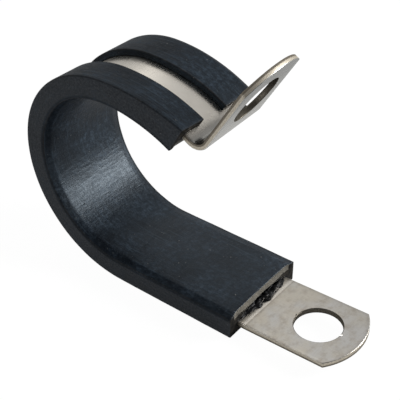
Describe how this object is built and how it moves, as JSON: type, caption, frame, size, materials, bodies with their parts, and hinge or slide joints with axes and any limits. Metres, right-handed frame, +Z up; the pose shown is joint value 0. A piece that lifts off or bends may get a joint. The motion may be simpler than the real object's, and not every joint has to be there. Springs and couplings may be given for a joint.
{
  "type": "rubber lined p clip",
  "caption": "Open steel band clip in a rubber channel, with two holed tabs, that holds a pipe or cable loom to a surface.",
  "frame": {"origin": "centre of the lower tab's hole, halfway through the steel", "axes": "+Z up from the surface the foot lies on, +X along the lower tab away from the loop, +Y across the band's width"},
  "size_m": [0.0661, 0.0196, 0.0484],
  "materials": {
    "stainless_steel": "mill-finished stainless strip, satin, slightly mottled, with sheared edges",
    "rubber": "blue-black extruded rubber, matt, with a faint dusty bloom",
    "adhesive": "cured black adhesive, glossy and rough"
  },
  "bodies": {
    "root": {"steel_band": "stainless_steel", "rubber_liner": "rubber", "adhesive_bead": "adhesive"}
  },
  "joints": []
}
